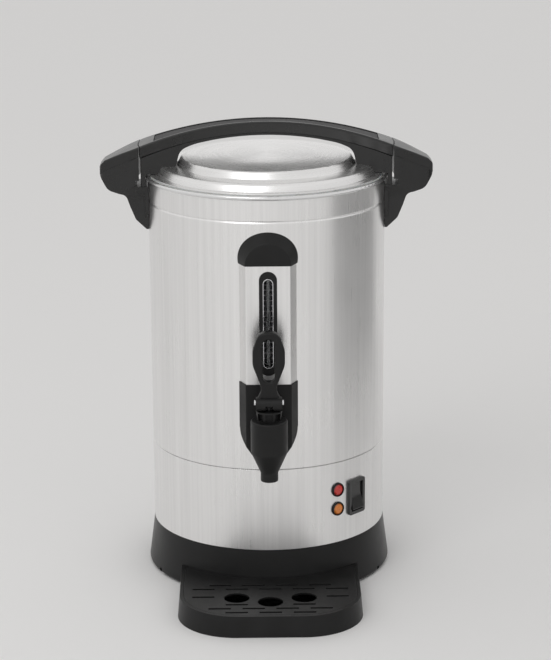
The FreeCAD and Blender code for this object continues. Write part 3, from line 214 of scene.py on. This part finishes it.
def brushed_steel(name, colour, rough, turned=False, anisotropy=0.45):
    """Satin steel with long fine streaks, faint cloudiness and a few rubbed patches."""
    material, tree, shader, place = start_material(name, Metallic=1.0, Anisotropic=anisotropy)
    streaked = ringed(tree, place, TURNED_SQUEEZE) if turned else upright(tree, place, STREAK_SQUEEZE)
    coarse = noise(tree, streaked, COARSE_STREAK, 5.0, 0.62)
    fine = noise(tree, streaked, FINE_STREAK, 3.0, 0.6)
    clouds = noise(tree, place, CLOUD, 2.0)
    tone = spread(tree, coarse, 0.3, 0.7, 0.0, 1.0)
    brushed = blend_colour(tree, tone, shade(colour, 0.88), shade(colour, 1.0))
    cloudy = spread(tree, clouds, 0.35, 0.65, 0.0, 0.22)
    connect(tree, shader.inputs["Base Color"], blend_colour(tree, cloudy, brushed, shade(colour, 0.9)))
    half_fine = math_node(tree, "MULTIPLY", fine, 0.5)
    half_clouds = math_node(tree, "MULTIPLY", clouds, 0.5)
    grain = math_node(tree, "ADD", half_fine, half_clouds)
    connect(tree, shader.inputs["Roughness"], spread(tree, grain, 0.35, 0.65, rough - 0.05, rough + 0.07))
    shader.inputs["Anisotropic Rotation"].default_value = 0.0 if turned else 0.25
    tangent = add(tree, "Tangent", {"direction_type": "RADIAL", "axis": "Z"}).outputs[0]
    connect(tree, shader.inputs["Tangent"], tangent)
    connect(tree, shader.inputs["Normal"], bump(tree, fine, BRUSH_DEPTH, 0.35, soft_normal(tree, SHEET_EDGE)))
    return material


def moulded(name, colour, rough, grain=0.0005, depth=0.00002, edge_highlight=1.5, edge_radius=0.0005, **sockets):
    """Moulded plastic or rubber: a fine grain, faint colour drift, and a painted highlight that lightens the
    edges in patches.
    """
    material, tree, shader, place = start_material(name, **sockets)
    pebbles = noise(tree, place, grain, 2.0)
    drift = noise(tree, place, DRIFT, 3.0)
    soft = soft_normal(tree, edge_radius)
    tone = spread(tree, drift, 0.35, 0.65, 0.0, 1.0)
    base = blend_colour(tree, tone, shade(colour, 0.85), shade(colour, 1.15))
    # Painted highlight: the edges that the soft normal rounds off are painted lighter, in patches, where they
    # would catch the light
    edge_highlight_mask = math_node(tree, "MULTIPLY", edge_mask(tree, soft), spread(tree, drift, 0.4, 0.6, 0.25, 0.8))
    connect(tree, shader.inputs["Base Color"], blend_colour(tree, edge_highlight_mask, base, shade(colour, edge_highlight)))
    connect(tree, shader.inputs["Roughness"], spread(tree, drift, 0.35, 0.65, rough - 0.04, rough + 0.05))
    connect(tree, shader.inputs["Normal"], bump(tree, pebbles, depth, 0.6, soft))
    return material


def plated(name, colour, rough):
    """Bright plated steel with a slight haze."""
    material, tree, shader, place = start_material(name, Metallic=1.0)
    haze = noise(tree, place, HAZE, 4.0)
    connect(tree, shader.inputs["Roughness"], spread(tree, haze, 0.3, 0.7, rough - 0.04, rough + 0.06))
    tone = spread(tree, haze, 0.35, 0.65, 0.0, 1.0)
    plate = blend_colour(tree, tone, shade(colour, 0.92), shade(colour, 1.0))
    connect(tree, shader.inputs["Base Color"], plate)
    connect(tree, shader.inputs["Normal"], bump(tree, haze, BRUSH_DEPTH, 0.3, soft_normal(tree, PLATED_EDGE)))
    return material


def lens(name, colour, centre):
    """A tinted lens with moulded rings behind its glossy face."""
    material, tree, shader, place = start_material(name, Roughness=0.12, IOR=1.49, Coat_Weight=0.6)
    shader.inputs["Coat Roughness"].default_value = 0.05
    shader.inputs["Subsurface Weight"].default_value = 0.25
    shader.inputs["Subsurface Radius"].default_value = (0.002, 0.001, 0.0005)
    apart = vector_node(tree, "DISTANCE", place, centre)
    rings = math_node(tree, "SINE", math_node(tree, "MULTIPLY", apart, 2 * pi / LENS_RING))
    tone = spread(tree, rings, -1.0, 1.0, 0.0, 1.0)
    ringed_tone = blend_colour(tree, tone, shade(colour, 0.72), shade(colour, 1.1))
    # Painted shade: the lens is painted darker towards its edge, next to the rim
    rim = spread(tree, apart, LENS_RADIUS * 0.72, LENS_RADIUS * 1.02, 0.0, 0.85)
    connect(tree, shader.inputs["Base Color"], blend_colour(tree, rim, ringed_tone, shade(colour, 0.12)))
    connect(tree, shader.inputs["Normal"], bump(tree, rings, LENS_RING_DEPTH, 0.4))
    return material


def tube_glass(name):
    """Clear tube with a faint film of scale."""
    material, tree, shader, place = start_material(name, Transmission_Weight=1.0, IOR=1.47)
    shader.inputs["Base Color"].default_value = (0.93, 0.95, 0.95, 1.0)
    film = noise(tree, place, FILM, 3.0)
    connect(tree, shader.inputs["Roughness"], spread(tree, film, 0.3, 0.7, 0.02, 0.12))
    return material


def scale_strip(name):
    """A dark strip with plain ticks: a long one each 10 mm, short ones between."""
    material, tree, shader, place = start_material(name, Roughness=0.5)
    parts = add(tree, "SeparateXYZ", Vector=place)
    aside = math_node(tree, "ABSOLUTE", parts.outputs[0])
    marks = 0.0
    for pitch, inner in TICKS:
        phase = math_node(tree, "MODULO", parts.outputs[2], pitch)
        on = math_node(tree, "LESS_THAN", phase, TICK_HEIGHT)
        wide = math_node(tree, "GREATER_THAN", aside, inner)
        marks = math_node(tree, "MAXIMUM", marks, math_node(tree, "MULTIPLY", on, wide))
    specks = noise(tree, place, SPECK, 3.0)
    dark = blend_colour(tree, specks, STRIP_DARK, STRIP_PALE)
    connect(tree, shader.inputs["Base Color"], blend_colour(tree, marks, dark, TICK_COLOUR))
    connect(tree, shader.inputs["Normal"], bump(tree, specks, SPECK_DEPTH, 0.4))
    return material


def lamp_point(height, out):
    """A point on the lamps' line, that far out from the casing."""
    reach = BODY_RADIUS + out
    return (reach * sin(LAMP_ANGLE), -reach * cos(LAMP_ANGLE), height)


steel_casing = brushed_steel("steel_casing", (0.90, 0.895, 0.89), 0.30)
steel_lid = brushed_steel("steel_lid", (0.88, 0.875, 0.87), 0.27, turned=True)
steel_tank = brushed_steel("steel_tank", (0.82, 0.82, 0.82), 0.24, turned=True, anisotropy=0.3)
steel_plain = brushed_steel("steel_plain", (0.55, 0.55, 0.56), 0.4, anisotropy=0.1)
black_plastic = moulded("black_plastic", (0.01, 0.01, 0.01), 0.42, Specular_IOR_Level=0.25)
black_handle = moulded("black_handle", (0.01, 0.01, 0.01), 0.28)
black_base = moulded("black_base", (0.01, 0.01, 0.01), 0.36, grain=0.0007, Specular_IOR_Level=0.25)
black_tray = moulded("black_tray", (0.01, 0.01, 0.01), 0.4, grain=0.0006, Specular_IOR_Level=0.25)
black_gloss = moulded("black_gloss", (0.01, 0.01, 0.01), 0.14, depth=0.000004, Coat_Weight=0.4)
soft_black = moulded("soft_black", (0.028, 0.027, 0.028), 0.62, grain=0.0011, depth=0.00012, edge_highlight=1.8)
rubber_black = moulded("rubber_black", (0.025, 0.025, 0.025), 0.75, grain=0.0008, depth=0.00005)
silicone = moulded("silicone", (0.70, 0.68, 0.64), 0.5, edge_highlight=1.1, depth=0.00001, Subsurface_Weight=0.2)
nylon = moulded("nylon", (0.06, 0.06, 0.06), 0.45)
phenolic = moulded("phenolic", (0.10, 0.06, 0.045), 0.5, grain=0.0009, depth=0.00003)
cast_metal = moulded("cast_metal", (0.55, 0.55, 0.55), 0.5, grain=0.0012, depth=0.00006, edge_highlight=1.3,
                     Metallic=0.9)
bright_steel = plated("bright_steel", (0.80, 0.80, 0.81), 0.22)
bright_trim = plated("bright_trim", (0.86, 0.86, 0.88), 0.16)
clear_tube = tube_glass("clear_tube")
scale_dark = scale_strip("scale_dark")
lens_red = lens("lens_red", (0.62, 0.028, 0.02), lamp_point(LAMP_HEIGHTS["lamp_red"], LENS_PROUD))
lens_amber = lens("lens_amber", (0.78, 0.24, 0.03), lamp_point(LAMP_HEIGHTS["lamp_amber"], LENS_PROUD))

DRESS = [
    (steel_casing, "lower_shell main_shell gauge_channel"),
    (steel_lid, "lid_shell"),
    (steel_tank, "inner_tank"),
    (steel_plain, "base_plate heater_bridge heating_element tie_rod tie_nuts"),
    (black_plastic, "gauge_cap gauge_bezel tap_mount tap_body tap_bonnet tap_lever mains_inlet lamp_collars"),
    (black_handle, "lid_handle side_grip_right side_grip_left"),
    (black_base, "base_skirt"),
    (black_tray, "drip_tray drip_grille"),
    (black_gloss, "switch_frame switch_rocker"),
    (soft_black, "lid_grip_pad"),
    (rubber_black, "tube_seals base_feet"),
    (silicone, "lid_seal tap_gaskets tap_valve"),
    (nylon, "tap_stem tap_spacer gauge_fitting"),
    (phenolic, "thermostat thermal_cutout terminal_block"),
    (cast_metal, "heater_plate"),
    (bright_steel, "base_screws lid_screws side_grip_screws inlet_screws inlet_blades tap_pivot_pin tap_spring"
                   " tap_nut"),
    (bright_trim, "gauge_trim"),
    (clear_tube, "sight_tube"),
    (scale_dark, "gauge_scale"),
    (lens_red, "lamp_red"),
    (lens_amber, "lamp_amber"),
]
for material, names in DRESS:
    for name in names.split():
        for slot in nodes[name].material_slots:
            slot.material = material


# Pieces

def link(name, mesh):
    piece = bpy.data.objects.new(name, mesh)
    scene.collection.objects.link(piece)
    return piece


def turned_ring(name, profile, matrix, material, steps=72):
    """A closed profile of (radius, height) points swung right round the matrix's Z axis."""
    mesh = bpy.data.meshes.new(name)
    shape = bmesh.new()
    rings = []
    for k in range(steps):
        angle = 2 * pi * k / steps
        points = [Vector((r * cos(angle), r * sin(angle), h)) for r, h in profile]
        rings.append([shape.verts.new(matrix @ point) for point in points])
    count = len(profile)
    for k in range(steps):
        here, there = rings[k], rings[(k + 1) % steps]
        for i in range(count):
            j = (i + 1) % count
            shape.faces.new((here[i], there[i], there[j], here[j]))
    bmesh.ops.recalc_face_normals(shape, faces=shape.faces)
    for face in shape.faces:
        face.smooth = True
    shape.to_mesh(mesh)
    shape.free()
    mesh.materials.append(material)
    return link(name, mesh)


def facing_lamp(height):
    """A matrix whose Z axis points out of the casing at the lamps."""
    out = Matrix.Rotation(LAMP_ANGLE, 4, "Z") @ Matrix.Rotation(radians(90), 4, "X")
    return Matrix.Translation(lamp_point(height, 0.0)) @ out


# How far the lamp rim's profile lies out from the lens, and how far it stands off the casing

RIM_STEPS = [(0.0001, 0.0002), (0.0001, 0.0016), (0.0004, 0.0021), (0.0009, 0.0019), (0.0012, 0.0012),
             (0.0013, 0.0003)]
RIM = [(LENS_RADIUS + out, rise) for out, rise in RIM_STEPS]
for name, height in LAMP_HEIGHTS.items():
    rim = turned_ring(name + "_rim", RIM, facing_lamp(height), black_plastic)
    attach(rim, "urn")


# Stage and light

FLOOR_COLOUR = (0.86, 0.855, 0.85, 1.0)
FLOOR_REACH = 6
STAGE_ROUGHNESS = 0.9
CARD_COLOUR = (0.42, 0.42, 0.42, 1.0)
SIDE_CARD = [(0.85, -0.45, 0.0), (0.85, 0.55, 0.0), (0.85, 0.55, 0.6), (0.85, -0.45, 0.6)]
SKY_COLOUR = (0.83, 0.825, 0.82, 1.0)
SKY_LIGHT = 0.85
KEY_PLACE = (-0.9, -1.9, 2.2)
KEY_AIM = (0, -0.6, 0.0)
KEY_SIZE = 1.4
KEY_POWER = 12


def plane(name, corners, colour):
    mesh = bpy.data.meshes.new(name)
    mesh.from_pydata(corners, [], [(0, 1, 2, 3)])
    piece = link(name, mesh)
    material = bpy.data.materials.new(name)
    material.use_nodes = True
    shader = material.node_tree.nodes["Principled BSDF"]
    shader.inputs["Base Color"].default_value = colour
    shader.inputs["Roughness"].default_value = STAGE_ROUGHNESS
    mesh.materials.append(material)
    return piece


plane("floor", [(-FLOOR_REACH, -FLOOR_REACH, 0), (FLOOR_REACH, -FLOOR_REACH, 0),
                (FLOOR_REACH, FLOOR_REACH, 0), (-FLOOR_REACH, FLOOR_REACH, 0)], FLOOR_COLOUR)
side_card = plane("side_card", SIDE_CARD, CARD_COLOUR)
side_card.visible_camera = False

world = bpy.data.worlds.new("world")
world.use_nodes = True
world_tree = world.node_tree
path = world_tree.nodes.new("ShaderNodeLightPath")
seen = math_node(world_tree, "MAXIMUM", path.outputs["Is Camera Ray"], path.outputs["Is Glossy Ray"])
background = world_tree.nodes["Background"]
background.inputs["Color"].default_value = SKY_COLOUR
connect(world_tree, background.inputs["Strength"], spread(world_tree, seen, 0.0, 1.0, SKY_LIGHT, 1.0))
scene.world = world

key_data = bpy.data.lights.new("key", "AREA")
key_data.shape = "RECTANGLE"
key_data.size = KEY_SIZE
key_data.size_y = KEY_SIZE
key_data.energy = KEY_POWER
key = bpy.data.objects.new("key", key_data)
scene.collection.objects.link(key)
direction = (Vector(KEY_AIM) - Vector(KEY_PLACE)).normalized()
key.matrix_world = Matrix.Translation(KEY_PLACE) @ direction.to_track_quat("-Z", "Y").to_matrix().to_4x4()
